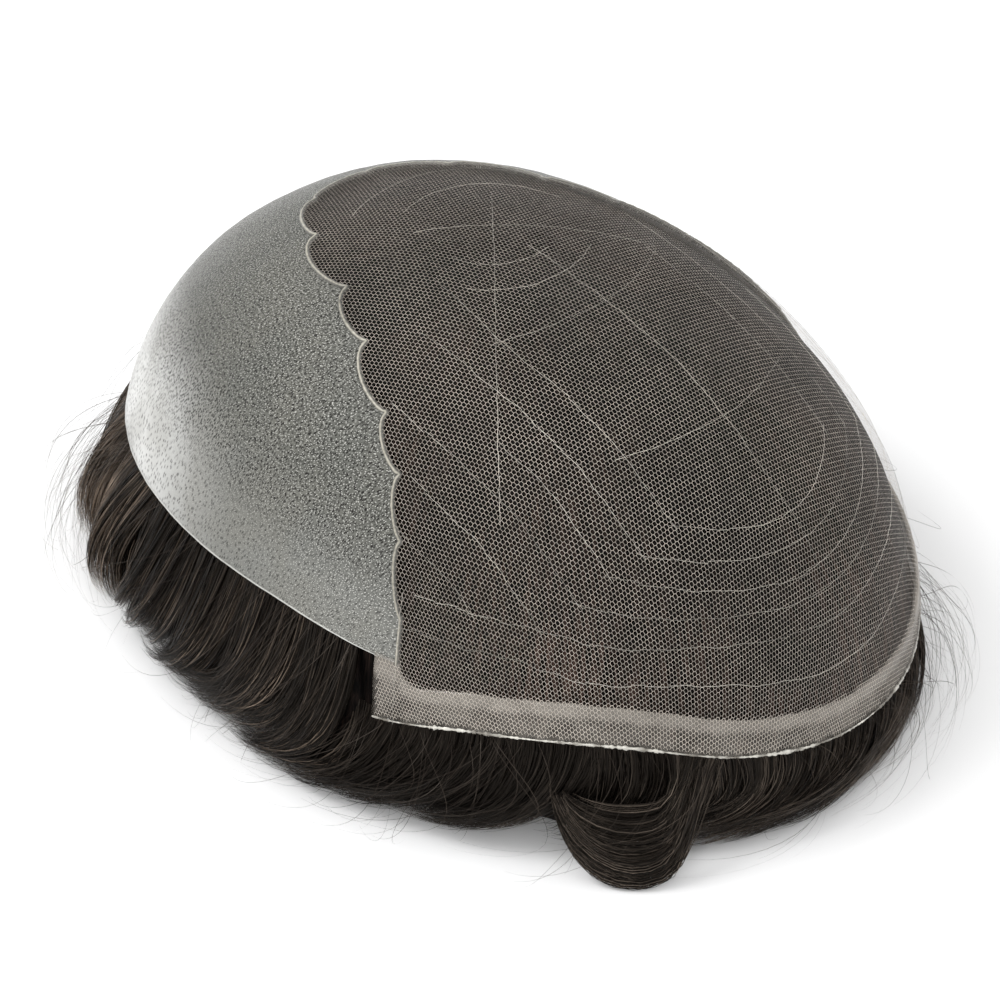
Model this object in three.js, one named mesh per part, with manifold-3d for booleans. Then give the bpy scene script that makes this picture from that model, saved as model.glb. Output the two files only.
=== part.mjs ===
// Toupee turned inside out and laid down: the scalp side of its base is a dome on top,
// and the hair lines the dome and spills out round the rim in curled locks.
// Millimetres, Z up, the table is Z = 0, the front hairline faces -Y.

import * as THREE from 'three';
import { mergeVertices } from 'three/addons/utils/BufferGeometryUtils.js';
import Module from 'manifold-3d';

const wasm = await Module();
wasm.setup();

// Base dome
const domeHalfWidth = 77;
const domeHalfLength = 106;
const domeRise = 85;
const domeRoundness = 2.1;
const domeLift = 12;
const domeColumns = 44;
const domeRows = 9;

// Walls and clearances
const laceThickness = 1.0;
const skinThickness = 1.0;
const edgingProud = 0.4;
const edgingWidth = 1.5;
const bandProud = 0.3;
const bandThickness = 1.5;
const seamGap = 0.3;
const hairClearance = 0.5;

// Heights of the rim above the table
const skinEdgeHeight = 37.5;
const bandEdgeHeight = 28.5;

// Hairline band and temple notches
const bandHeight = 9.5;
const notchAzimuth = 203;
const upturnSpan = 4.5;
const upturnCorner = 5;

// Scallops between skin and lace
const scallopDepthShare = 0.2;
const scallopSteps = 4;

// Hair
const liningThickness = 9;
const skirtWall = 13;
const skirtFlare = 8;
const skirtDrop = 1.4;
const skirtColumns = 44;
const lockWidth = 23;
const lockThickness = 9;
const lockStand = 10;
const lockLow = 5;
const lockLift = 12;
const lockRootShare = 0.55;
const lockRootDrop = 0.06;
const lockSides = 6;
const lockStations = 7;
const partingGap = 0.4;

// Height of the skin's lower edge by azimuth, as a share of its highest point
const skinEdgeTable = [
  { azimuth: 0, height: 1 },
  { azimuth: 40, height: 0.92 },
  { azimuth: 65, height: 0.84 },
  { azimuth: 90, height: 0.827 },
  { azimuth: 115, height: 0.84 },
  { azimuth: 140, height: 0.92 },
  { azimuth: 180, height: 1 },
  { azimuth: 203, height: 0.987 },
  { azimuth: 270, height: 0.987 },
  { azimuth: 337, height: 0.987 },
  { azimuth: 360, height: 1 },
];

// Height of the band's lower edge by azimuth, as a share of its highest point
const bandEdgeTable = [
  { azimuth: 0, height: 0.737 },
  { azimuth: 200, height: 0.737 },
  { azimuth: 221, height: 0.947 },
  { azimuth: 240, height: 1 },
  { azimuth: 255, height: 0.807 },
  { azimuth: 270, height: 0.632 },
  { azimuth: 285, height: 0.596 },
  { azimuth: 300, height: 0.667 },
  { azimuth: 320, height: 0.772 },
  { azimuth: 340, height: 0.737 },
  { azimuth: 360, height: 0.737 },
];

// Cusps of the scallops on the near half, as shares of the dome's half width and half length
const cuspTable = [
  { across: 0.105, along: 0.52 },
  { across: 0.27, along: 0.385 },
  { across: 0.4, along: 0.185 },
  { across: 0.508, along: 0.045 },
  { across: 0.622, along: -0.1 },
  { across: 0.705, along: -0.2 },
  { across: 0.793, along: -0.265 },
  { across: 0.872, along: -0.322 },
];

// How far the hair skirt stands out past the dome by azimuth, as a share of the widest flare
const flareTable = [
  { azimuth: 0, flare: 0.75 },
  { azimuth: 60, flare: 0.625 },
  { azimuth: 90, flare: 0.375 },
  { azimuth: 108, flare: 0.5 },
  { azimuth: 120, flare: 1 },
  { azimuth: 140, flare: 1 },
  { azimuth: 155, flare: 0.75 },
  { azimuth: 180, flare: 0.75 },
  { azimuth: 200, flare: 0.875 },
  { azimuth: 225, flare: 0.375 },
  { azimuth: 240, flare: 0.625 },
  { azimuth: 252, flare: -0.125 },
  { azimuth: 270, flare: -0.375 },
  { azimuth: 292, flare: -0.375 },
  { azimuth: 312, flare: 0.375 },
  { azimuth: 335, flare: 0.75 },
  { azimuth: 360, flare: 0.75 },
];

// Locks rooted along the skin's edge: root and sweep in degrees, the rest as shares of the lock sizes
const skinLockTable = [
  { root: 97, sweep: -4, width: 0.95, stand: 0.5, low: 1, lift: 0.25 },
  { root: 111, sweep: -5, width: 1.05, stand: 0.7, low: 1, lift: 0.083 },
  { root: 125, sweep: -5, width: 1.1, stand: 1, low: 1, lift: 0.25 },
  { root: 139, sweep: -6, width: 0.95, stand: 1, low: 0.8, lift: 0.083 },
  { root: 153, sweep: -7, width: 1.05, stand: 0.8, low: 1, lift: 0.25 },
  { root: 167, sweep: -7, width: 0.9, stand: 0.7, low: 0.8, lift: 0.083 },
  { root: 181, sweep: -7, width: 0.98, stand: 0.8, low: 1, lift: 0.25 },
  { root: 194, sweep: -7, width: 1.05, stand: 0.9, low: 0.8, lift: 0.083 },
  { root: 346, sweep: 7, width: 1.05, stand: 0.9, low: 1, lift: 0.25 },
  { root: 359, sweep: 7, width: 0.95, stand: 0.8, low: 0.8, lift: 0.083 },
  { root: 13, sweep: 7, width: 1.05, stand: 0.7, low: 1, lift: 0.25 },
  { root: 27, sweep: 7, width: 0.9, stand: 0.7, low: 0.8, lift: 0.083 },
  { root: 41, sweep: 6, width: 0.98, stand: 0.8, low: 1, lift: 0.25 },
  { root: 55, sweep: 5, width: 1.1, stand: 0.8, low: 0.8, lift: 0.083 },
  { root: 69, sweep: 5, width: 0.95, stand: 0.7, low: 1, lift: 0.25 },
  { root: 83, sweep: 4, width: 1.05, stand: 0.5, low: 1, lift: 0.083 },
];

// Locks rooted along the hairline band, in the same columns
const laceLockTable = [
  { root: 211, sweep: -24, width: 0.957, stand: 0.9, low: 1, lift: 0.25 },
  { root: 230, sweep: -22, width: 0.957, stand: 0.5, low: 1, lift: 0.333 },
  { root: 245, sweep: -16, width: 0.783, stand: 1.1, low: 0.8, lift: 1 },
  { root: 273, sweep: -22, width: 0.826, stand: 0, low: 1.4, lift: 0.167 },
  { root: 300, sweep: 11, width: 0.826, stand: 0.7, low: 1.4, lift: 0.417 },
  { root: 326, sweep: 20, width: 0.957, stand: 0.9, low: 1, lift: 0.25 },
];

function toSolid(geometry) {
  const bare = geometry.index ? geometry.toNonIndexed() : geometry.clone();
  bare.deleteAttribute('normal');
  bare.deleteAttribute('uv');
  const merged = mergeVertices(bare, 1e-5);
  return new wasm.Manifold(new wasm.Mesh({
    numProp: 3,
    vertProperties: new Float32Array(merged.attributes.position.array),
    triVerts: new Uint32Array(merged.index.array),
  }));
}

function fromSolid(solid) {
  const mesh = solid.getMesh();
  const geometry = new THREE.BufferGeometry();
  geometry.setAttribute('position', new THREE.BufferAttribute(new Float32Array(mesh.vertProperties), 3));
  geometry.setIndex(new THREE.BufferAttribute(new Uint32Array(mesh.triVerts), 1));
  const flat = geometry.toNonIndexed();
  flat.computeVertexNormals();
  return flat;
}

function geometryOf(points, faces) {
  const geometry = new THREE.BufferGeometry();
  const flat = points.flatMap((point) => [point.x, point.y, point.z]);
  geometry.setAttribute('position', new THREE.Float32BufferAttribute(flat, 3));
  geometry.setIndex(faces);
  return geometry;
}

function readTable(table, key, azimuth) {
  const angle = ((azimuth % 360) + 360) % 360;
  const upper = table.findIndex((row) => row.azimuth >= angle);
  const right = table[Math.max(upper, 1)];
  const left = table[Math.max(upper, 1) - 1];
  const share = (angle - left.azimuth) / (right.azimuth - left.azimuth);
  const eased = share * share * (3 - 2 * share);
  return left[key] + (right[key] - left[key]) * eased;
}

// Distance from the dome's centre to its outer face along a direction
function domeReach(direction) {
  const sum = Math.abs(direction.x / domeHalfWidth) ** domeRoundness
    + Math.abs(direction.y / domeHalfLength) ** domeRoundness
    + Math.abs(direction.z / domeRise) ** domeRoundness;
  return sum ** (-1 / domeRoundness);
}

function domePoint(azimuth, elevation, inset) {
  const turn = THREE.MathUtils.degToRad(azimuth);
  const rise = THREE.MathUtils.degToRad(elevation);
  const direction = new THREE.Vector3(
    Math.cos(rise) * Math.cos(turn),
    Math.cos(rise) * Math.sin(turn),
    Math.sin(rise),
  );
  const point = direction.multiplyScalar(domeReach(direction) - inset);
  point.z += domeLift;
  return point;
}

// Radius of the dome's outer face at a height, seen from above
function domeRadius(azimuth, height) {
  const turn = THREE.MathUtils.degToRad(azimuth);
  const up = Math.max(height - domeLift, 0) / domeRise;
  const left = Math.max(1 - up ** domeRoundness, 0);
  const sum = Math.abs(Math.cos(turn) / domeHalfWidth) ** domeRoundness
    + Math.abs(Math.sin(turn) / domeHalfLength) ** domeRoundness;
  return (left / sum) ** (1 / domeRoundness);
}

// Closed dome wall between two insets from the outer face, open at its foot
function domeWall(outerInset, innerInset) {
  const points = [];
  const faces = [];
  for (const inset of [outerInset, innerInset]) {
    for (let row = 0; row < domeRows; row += 1) {
      for (let column = 0; column < domeColumns; column += 1) {
        points.push(domePoint((column * 360) / domeColumns, (row * 90) / domeRows, inset));
      }
    }
    points.push(domePoint(0, 90, inset));
  }
  const layer = domeRows * domeColumns + 1;
  const at = (side, row, column) => side * layer + row * domeColumns + (column % domeColumns);
  const quad = (a, b, c, d) => faces.push(a, b, c, a, c, d);
  for (let column = 0; column < domeColumns; column += 1) {
    const next = column + 1;
    for (let row = 0; row < domeRows - 1; row += 1) {
      quad(at(0, row, column), at(0, row, next), at(0, row + 1, next), at(0, row + 1, column));
      quad(at(1, row, next), at(1, row, column), at(1, row + 1, column), at(1, row + 1, next));
    }
    faces.push(at(0, domeRows - 1, column), at(0, domeRows - 1, next), layer - 1);
    faces.push(at(1, domeRows - 1, next), at(1, domeRows - 1, column), 2 * layer - 1);
    quad(at(1, 0, column), at(1, 0, next), at(0, 0, next), at(0, 0, column));
  }
  return toSolid(geometryOf(points, faces));
}

// Ring with one closed section at each azimuth, sections given as points anticlockwise in radius and height
function sectionRing(azimuths, sectionAt) {
  const points = [];
  const faces = [];
  const sections = azimuths.map(sectionAt);
  const count = sections[0].length;
  sections.forEach((section, column) => {
    const turn = THREE.MathUtils.degToRad(azimuths[column]);
    for (const [radius, height] of section) {
      points.push(new THREE.Vector3(radius * Math.cos(turn), radius * Math.sin(turn), height));
    }
  });
  const at = (column, place) => (column % sections.length) * count + (place % count);
  for (let column = 0; column < sections.length; column += 1) {
    for (let place = 0; place < count; place += 1) {
      const a = at(column, place);
      const b = at(column + 1, place);
      const c = at(column + 1, place + 1);
      const d = at(column, place + 1);
      faces.push(a, b, c, a, c, d);
    }
  }
  return toSolid(geometryOf(points, faces));
}

function evenAzimuths(count) {
  return Array.from({ length: count }, (_, index) => (index * 360) / count);
}

// Azimuths for edge cuts, closer together round the turned-up ends of the band
function edgeAzimuths() {
  const list = evenAzimuths(domeColumns);
  for (const share of [0, 0.08, 0.2, 0.4, 0.7, 1]) {
    const offset = upturnSpan + upturnCorner * share;
    list.push(notchAzimuth + offset, 540 - notchAzimuth - offset);
  }
  return [...new Set(list)].sort((a, b) => a - b);
}

function skinEdge(azimuth) {
  return skinEdgeHeight * readTable(skinEdgeTable, 'height', azimuth);
}

function bandEdge(azimuth) {
  return bandEdgeHeight * readTable(bandEdgeTable, 'height', azimuth);
}

// Top of the band: level along the hairline, rising in a rounded corner to the skin at the temples
function bandTop(azimuth) {
  const fromNotch = Math.min(azimuth - notchAzimuth, 540 - notchAzimuth - azimuth);
  const low = bandEdge(azimuth) + bandHeight;
  const high = skinEdge(azimuth) - seamGap;
  const share = THREE.MathUtils.clamp((fromNotch - upturnSpan) / upturnCorner, 0, 1);
  return low + (high - low) * (1 - Math.sqrt(1 - (1 - share) ** 2));
}

// Everything below an edge that follows the rim
function belowEdge(heightAt) {
  return sectionRing(edgeAzimuths(), (azimuth) => {
    const height = heightAt(azimuth);
    const near = domeHalfWidth / 2;
    const far = domeHalfLength * 2;
    return [[near, 0], [far, 0], [far, height], [near, height]];
  });
}

function upright(outline) {
  const shape = new THREE.Shape(outline.map((p) => new THREE.Vector2(p.x, p.y)));
  return toSolid(new THREE.ExtrudeGeometry(shape, { depth: domeRise * 2, bevelEnabled: false }));
}

function cuspPoints() {
  const place = (cusp) => new THREE.Vector2(-cusp.across * domeHalfWidth, cusp.along * domeHalfLength);
  const near = cuspTable.map(place);
  const far = near.map((p) => new THREE.Vector2(-p.x, p.y));
  return [...near.reverse(), ...far];
}

// Scalloped line from the near temple round the back of the crown to the far temple
function scallopLine() {
  const cusps = cuspPoints();
  const line = [];
  for (let index = 0; index < cusps.length - 1; index += 1) {
    const start = cusps[index];
    const chord = cusps[index + 1].clone().sub(start);
    const outward = new THREE.Vector2(-chord.y, chord.x).normalize();
    for (let step = 0; step < scallopSteps; step += 1) {
      const share = step / scallopSteps;
      const swell = scallopDepthShare * chord.length() * Math.sqrt(1 - (2 * share - 1) ** 2);
      line.push(start.clone().addScaledVector(chord, share).addScaledVector(outward, swell));
    }
  }
  line.push(cusps[cusps.length - 1]);
  return line;
}

// Line carried out past the rim at both temples, straight away from the axis
function reachRim(line) {
  const beyond = (p) => p.clone().setLength(domeHalfLength * 1.6);
  return [beyond(line[0]), ...line, beyond(line[line.length - 1])];
}

function offsetLine(line, distance) {
  return line.map((point, index) => {
    const before = line[Math.max(index - 1, 0)];
    const after = line[Math.min(index + 1, line.length - 1)];
    const into = point.clone().sub(before).normalize();
    const out = after.clone().sub(point).normalize();
    const along = into.add(out).normalize();
    const half = index === 0 ? out : along;
    const normal = new THREE.Vector2(-along.y, along.x);
    const lean = Math.max(half.dot(along), 0.6);
    return point.clone().addScaledVector(normal, distance / lean);
  });
}

// Plan of the lace side, grown (positive) or shrunk (negative) at the scalloped line
function lacePlan(line, grow) {
  const edge = offsetLine(reachRim(line), grow);
  const front = domeHalfLength * 3;
  return [...edge, new THREE.Vector2(front, -front), new THREE.Vector2(-front, -front)].reverse();
}

function templeWedge() {
  const reach = domeHalfLength * 3;
  const turn = THREE.MathUtils.degToRad(notchAzimuth);
  const near = new THREE.Vector2(reach * Math.cos(turn), reach * Math.sin(turn));
  const far = new THREE.Vector2(-near.x, near.y);
  return upright([new THREE.Vector2(0, 0), near, new THREE.Vector2(0, -reach), far]);
}

function makeLaceTop() {
  return domeWall(0, laceThickness)
    .intersect(upright(lacePlan(scallopLine(), -edgingWidth / 2 - seamGap)))
    .subtract(belowEdge((azimuth) => bandTop(azimuth) + seamGap));
}

function makeSkinBack() {
  return domeWall(0, skinThickness)
    .subtract(upright(lacePlan(scallopLine(), edgingWidth / 2 + seamGap)))
    .subtract(belowEdge(skinEdge));
}

function makeScallopEdging() {
  return domeWall(-edgingProud, laceThickness)
    .intersect(upright(lacePlan(scallopLine(), edgingWidth / 2)))
    .subtract(upright(lacePlan(scallopLine(), -edgingWidth / 2)))
    .subtract(belowEdge(skinEdge));
}

function makeHairlineBand() {
  return domeWall(-bandProud, bandThickness - bandProud)
    .intersect(templeWedge())
    .intersect(belowEdge(bandTop))
    .subtract(belowEdge(bandEdge));
}

// Height where the hair turns out from under the rim
function shoulderHeight(azimuth) {
  const edge = (turn) => (turn > notchAzimuth && turn < 540 - notchAzimuth ? bandEdge(turn) : skinEdge(turn));
  const beside = 360 / skirtColumns;
  return Math.min(edge(azimuth - beside), edge(azimuth), edge(azimuth + beside)) - skirtDrop;
}

// Hair skirt: from under the rim, out past the dome and down to the table
function makeSkirt() {
  return sectionRing(evenAzimuths(skirtColumns), (azimuth) => {
    const shoulder = shoulderHeight(azimuth);
    const foot = domeRadius(azimuth, 0);
    const inner = foot - skirtWall;
    const flare = skirtFlare * readTable(flareTable, 'flare', azimuth);
    const root = domeRadius(azimuth, shoulder) - hairClearance - bandThickness;
    const lap = domeRadius(azimuth, shoulder + liningThickness) - liningThickness * 0.7;
    return [
      [inner, 0],
      [foot + flare - 4, 0],
      [foot + flare, shoulder * 0.3],
      [foot + flare * 0.4, shoulder * 0.72],
      [root, shoulder],
      [lap, shoulder + liningThickness],
      [inner, shoulder],
    ];
  });
}

// Centre line of a lock: down from under the rim, then swept round it to the tip
function lockPoint(lock, share) {
  const azimuth = lock.root + lock.sweep * share ** 1.4;
  const top = shoulderHeight(lock.root) - lockThickness * 0.3 - Math.abs(lock.sweep) * lockRootDrop;
  const low = lock.low * lockLow;
  const height = low + (top - low) * (1 - share) ** 1.7 + lock.lift * lockLift * share ** 3;
  const inside = liningThickness / 2;
  const stand = (lock.stand * lockStand + inside) * Math.sin(share ** 0.6 * Math.PI * 0.6) - inside;
  const radius = domeRadius(azimuth, height) + stand;
  const turn = THREE.MathUtils.degToRad(azimuth);
  return new THREE.Vector3(radius * Math.cos(turn), radius * Math.sin(turn), height);
}

// Tapered lock with an oval section; grow makes the cutter that keeps the parting gap
function makeLock(lock, grow) {
  const points = [];
  const faces = [];
  const step = 1 / (lockStations - 1);
  for (let station = 0; station < lockStations; station += 1) {
    const share = station * step;
    const centre = lockPoint(lock, share);
    const ahead = lockPoint(lock, Math.min(share + step / 2, 1));
    const behind = lockPoint(lock, Math.max(share - step / 2, 0));
    const along = ahead.sub(behind).normalize();
    const out = new THREE.Vector3(centre.x, centre.y, 0).normalize();
    out.addScaledVector(along, -out.dot(along)).normalize();
    const across = new THREE.Vector3().crossVectors(along, out);
    const taper = (lockRootShare + (1 - lockRootShare) * Math.min(share * 2, 1)) * (1 - 0.85 * share ** 2.5);
    for (let side = 0; side < lockSides; side += 1) {
      const turn = (side * 2 * Math.PI) / lockSides;
      points.push(centre.clone()
        .addScaledVector(across, Math.cos(turn) * (lock.width * lockWidth * taper / 2 + grow))
        .addScaledVector(out, Math.sin(turn) * (lockThickness * taper / 2 + grow)));
    }
  }
  const last = (lockStations - 1) * lockSides;
  points.push(lockPoint(lock, 0), lockPoint(lock, 1));
  for (let side = 0; side < lockSides; side += 1) {
    const next = (side + 1) % lockSides;
    for (let ring = 0; ring < last; ring += lockSides) {
      faces.push(ring + side, ring + lockSides + next, ring + next);
      faces.push(ring + side, ring + lockSides + side, ring + lockSides + next);
    }
    faces.push(points.length - 2, side, next);
    faces.push(points.length - 1, last + next, last + side);
  }
  return toSolid(geometryOf(points, faces));
}

function joinLocks(table, grow) {
  return table.map((lock) => makeLock(lock, grow)).reduce((whole, lock) => whole.add(lock));
}

function aboveTable() {
  const slab = new THREE.BoxGeometry(domeHalfLength * 4, domeHalfLength * 4, domeRise * 2);
  slab.translate(0, 0, domeRise);
  return toSolid(slab);
}

// Plan that parts the hair rooted in the lace from the hair rooted in the skin
function partingPlan(grow) {
  const turn = THREE.MathUtils.degToRad(notchAzimuth);
  const rim = new THREE.Vector2(Math.cos(turn), Math.sin(turn)).multiplyScalar(domeHalfLength);
  const line = [rim, ...cuspPoints(), new THREE.Vector2(-rim.x, rim.y)];
  return lacePlan(line, grow);
}

function hairBulk() {
  const inset = laceThickness + hairClearance + bandProud;
  return domeWall(inset, inset + liningThickness).add(makeSkirt());
}

function makeHairOfLace() {
  return hairBulk()
    .intersect(upright(partingPlan(-partingGap / 2)))
    .add(joinLocks(laceLockTable, 0))
    .intersect(aboveTable());
}

function makeHairOfSkin() {
  return hairBulk()
    .subtract(upright(partingPlan(partingGap / 2)))
    .add(joinLocks(skinLockTable, 0).subtract(upright(partingPlan(partingGap / 2))))
    .subtract(joinLocks(laceLockTable, partingGap))
    .intersect(aboveTable());
}

const group = new THREE.Group();
group.name = 'toupee';

function addPiece(name, solid, color, roughness, metalness) {
  const material = new THREE.MeshStandardMaterial({ color, roughness, metalness });
  material.name = name;
  const mesh = new THREE.Mesh(fromSolid(solid), material);
  mesh.name = name;
  group.add(mesh);
}

addPiece('lace_top', makeLaceTop(), 0x8f857a, 0.85, 0);
addPiece('skin_back', makeSkinBack(), 0x9a9c95, 0.45, 0);
addPiece('scallop_edging', makeScallopEdging(), 0xc4bcab, 0.6, 0);
addPiece('hairline_band', makeHairlineBand(), 0xb5aea2, 0.5, 0);

addPiece('hair_of_lace', makeHairOfLace(), 0x2a2420, 0.5, 0);
addPiece('hair_of_skin', makeHairOfSkin(), 0x2f2823, 0.5, 0);

// The origin sits on the table under the middle of the whole piece
function centreOverTable() {
  const middle = new THREE.Box3().setFromObject(group).getCenter(new THREE.Vector3());
  for (const mesh of group.children) {
    mesh.geometry.translate(-middle.x, -middle.y, 0);
  }
}

centreOverTable();

export default group;
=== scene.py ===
"""A man's hairpiece lying inside out on a table.

Its base is a dome of fine net in front and clear vented skin behind. The dark hair hangs under the dome
and turns out in soft locks all round the rim. The front of the head faces -Y.
"""
import math

import bmesh
import bpy
import numpy as np
from mathutils import Matrix, Vector


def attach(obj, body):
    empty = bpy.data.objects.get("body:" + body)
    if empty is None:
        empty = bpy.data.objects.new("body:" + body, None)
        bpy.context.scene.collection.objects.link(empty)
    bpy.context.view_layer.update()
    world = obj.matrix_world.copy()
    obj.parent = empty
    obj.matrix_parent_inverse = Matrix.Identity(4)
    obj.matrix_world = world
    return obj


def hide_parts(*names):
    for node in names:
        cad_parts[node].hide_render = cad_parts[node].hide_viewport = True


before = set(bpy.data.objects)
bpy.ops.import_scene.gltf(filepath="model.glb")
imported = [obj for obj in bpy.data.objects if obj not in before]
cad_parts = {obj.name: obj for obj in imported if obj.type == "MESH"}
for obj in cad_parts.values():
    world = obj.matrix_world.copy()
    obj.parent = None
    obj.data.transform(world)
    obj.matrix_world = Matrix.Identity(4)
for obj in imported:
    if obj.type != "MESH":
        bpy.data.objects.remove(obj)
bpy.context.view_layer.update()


def table(columns, *rows):
    """Rows as dictionaries, from the columns' names and the values."""
    return [dict(zip(columns.split(), row)) for row in rows]



# Sizes in millimetres, heights from the table
MM = 0.001
HALF_WIDTH = 77.0
HALF_LENGTH = 106.0
RISE = 85.0
ROUNDNESS = 2.1
LIFT = 12.0
SKIN_EDGE_HEIGHT = 37.5
BAND_EDGE_HEIGHT = 28.5
BAND_HEIGHT = 9.5
NOTCH_AZIMUTH = 203.0
FAR_NOTCH_AZIMUTH = 540.0 - NOTCH_AZIMUTH
UPTURN_SPAN = 4.5
UPTURN_CORNER = 5.0
SCALLOP_DEPTH = 0.18
SCALLOP_LEAN = 0.72
EDGING_WIDTH = 1.5
EDGING_PROUD = 0.4
EDGING_WALL = 0.5
SKIN_WALL = 0.8
BAND_PROUD = 0.3
BAND_WALL = 1.0
NET_PITCH = 0.92
NET_ROW = 1.06
NET_SIDE = 0.86
THREAD_WIDTH = 0.09
NET_TURN = -4.0
STITCH_LENGTH = 3.1
STITCH_PITCH = 2.5
STITCH_WIDTH = 0.11
BED_INSET = 2.0
BED_THICKNESS = 9.0
BED_WALL = 12.0
BED_FLARE = 4.0
BED_TUCK = 5.0
LOCK_WIDTH = 23.0
LOCK_STAND = 10.0
LOCK_LOW = 5.0
LOCK_LIFT = 12.0
HAIR_WIDTH = 0.17
LOOSE_HAIR_WIDTH = 0.09

# How many hairs there are in one lock or curl, and points along one hair
NEAR_LOCK_HAIRS = 1240
FAR_LOCK_HAIRS = 850
FRONT_LOCK_HAIRS = 710
CURL_HAIRS = 1150
HAIR_POINTS = 11
LOOSE_HAIR_POINTS = 16

# The dome's axis stands where the top of the net does
top = max((v.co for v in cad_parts["lace_top"].data.vertices), key=lambda co: co.z)
AXIS = np.array([top.x / MM, top.y / MM, 0.0])
CENTRE = AXIS + [0, 0, LIFT]
HALVES = np.array([HALF_WIDTH, HALF_LENGTH, RISE])

# Lower edge of the skin and of the hairline band by azimuth, as shares of their highest points
SKIN_EDGE = table(
    "azimuth height",
    (0, 1.0),
    (40, 0.92),
    (65, 0.84),
    (90, 0.827),
    (115, 0.84),
    (140, 0.92),
    (180, 1.0),
    (203, 0.987),
    (337, 0.987),
    (360, 1.0),
)
BAND_EDGE = table(
    "azimuth height",
    (0, 0.737),
    (200, 0.737),
    (221, 0.947),
    (240, 1.0),
    (255, 0.807),
    (270, 0.632),
    (285, 0.596),
    (300, 0.667),
    (320, 0.772),
    (340, 0.737),
    (360, 0.737),
)

# Cusps of the scalloped border on one half, as shares of the half width and half length
CUSPS = table(
    "across along",
    (0.105, 0.52),
    (0.27, 0.385),
    (0.4, 0.185),
    (0.508, 0.045),
    (0.622, -0.1),
    (0.705, -0.2),
    (0.793, -0.265),
    (0.872, -0.322),
)

# Flare of the hair past the dome by azimuth, as a share of the widest
FLARE = table(
    "azimuth flare",
    (0, 0.75),
    (60, 0.625),
    (90, 0.375),
    (108, 0.5),
    (120, 1.0),
    (140, 1.0),
    (155, 0.75),
    (180, 0.75),
    (200, 0.8),
    (216, 0.7),
    (229, -0.8),
    (240, 0.3),
    (251, -0.8),
    (260, -0.2),
    (270, -0.4),
    (292, -0.6),
    (312, -0.1),
    (335, 0.75),
    (360, 0.75),
)

# Locks round the rim: root and sweep in degrees, the rest as shares of the lock sizes
SKIN_LOCKS = table(
    "root sweep width stand low lift",
    (97, 4, 1.1, 0.5, 1.0, 0.2),
    (109, 7, 1.2, 0.8, 1.0, 0.1),
    (122, 8, 1.25, 1.1, 1.0, 0.2),
    (136, 5, 1.2, 1.15, 0.6, 0.1),
    (151, -5, 1.25, 1.0, 1.0, 0.2),
    (166, -12, 1.2, 0.9, 0.6, 0.1),
    (181, -17, 1.2, 0.95, 1.0, 0.2),
    (196, -20, 1.2, 1.05, 0.6, 0.1),
    (346, 18, 1.2, 0.9, 1.0, 0.2),
    (359, 18, 1.1, 0.8, 0.8, 0.1),
    (13, 17, 1.2, 0.8, 1.0, 0.2),
    (27, 16, 1.1, 0.8, 0.8, 0.1),
    (41, 14, 1.1, 0.9, 1.0, 0.2),
    (55, 12, 1.2, 0.9, 0.8, 0.1),
    (69, 10, 1.1, 0.8, 1.0, 0.2),
    (83, 8, 1.1, 0.5, 1.0, 0.1),
)
LACE_LOCKS = table(
    "root sweep width stand low lift",
    (207, -21, 1.0, 1.1, 0.8, 0.1),
    (217, -22, 1.1, 0.95, 1.0, 0.1),
    (229, -20, 1.2, 0.75, 0.7, 0.2),
    (241, -9, 1.1, 0.3, 2.0, 0.2),
    (253, -7, 1.1, 0.1, 2.0, 0.1),
    (264, -15, 1.1, 0.3, 1.2, 0.1),
    (276, -20, 1.2, 0.4, 1.2, 0.2),
    (289, -22, 1.1, 0.2, 1.4, 0.1),
    (298, -14, 1.2, 0.15, 1.0, 0.1),
    (306, 4, 1.0, 0.3, 1.2, 0.2),
    (317, 9, 1.1, 0.6, 1.0, 0.2),
    (329, 18, 1.1, 1.0, 1.0, 0.2),
)

# Painted highlights on the hair round the rim: how much paler its strands are painted where the light
# falls on them, a little darker where negative, 0 to 1
PAINTED_HIGHLIGHTS = table(
    "azimuth light",
    (0, 0.3),
    (100, 0.4),
    (112, 1.5),
    (130, 1.5),
    (145, 0.1),
    (170, -0.1),
    (200, -0.2),
    (232, -0.3),
    (245, 0.3),
    (275, 0.5),
    (290, 1.1),
    (325, 1.1),
    (360, 0.3),
)

# Where single hairs stray: how many, round which azimuth and how widely
STRAYS = table(
    "azimuth spread count",
    (180, 180, 170),
    (124, 9, 110),
    (205, 25, 90),
    (292, 16, 110),
)

# Curl under the near temple: its middle, half width, height, fullness and the roots of its hair
CURL = dict(azimuth=239.0, radius=100.0, wide=16.0, height=20.0, deep=12.5, root=247.0)

# Guide threads in plan, mm from the axis. Arcs round the front are parts of ellipses
GUIDE_ARCS = table(
    "front wide reach",
    (84, 48.5, 24),
    (88.3, 56, 32.5),
    (92.4, 59.5, 39.5),
    (95.3, 65, 46.5),
    (98.5, 69, 64),
    (102.5, 72, 68),
)
# Straight legs on both sides, each down to one of the arcs
GUIDE_LEGS = table(
    "across back arc",
    (24, -20, 0),
    (32.5, -6, 1),
    (39.5, -37, 2),
    (46.5, -12, 3),
    (53.5, -25, 4),
    (60, -26, 4),
)
# Cross threads: bowed lines over the midline
GUIDE_BOWS = table(
    "reach ends middle",
    (25, -58, -64),
    (25, -21, -29),
)
# Rings round the whorl of the crown
GUIDE_RINGS = table(
    "radius start stop",
    (13, 185, 280),
    (21, -150, -60),
    (23.5, 10, 105),
    (35.5, 15, 110),
)
WHORL_ALONG = 4.0
# Straight threads, from one end to the other
GUIDE_LINES = table(
    "across along far_across far_along",
    (0.5, -6, 1, -92),
    (11.9, 17.4, -48.6, -45.6),
    (-10.5, 17.7, 25.7, -18.8),
    (-24.4, -22.3, -20.8, 1.3),
)


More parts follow.
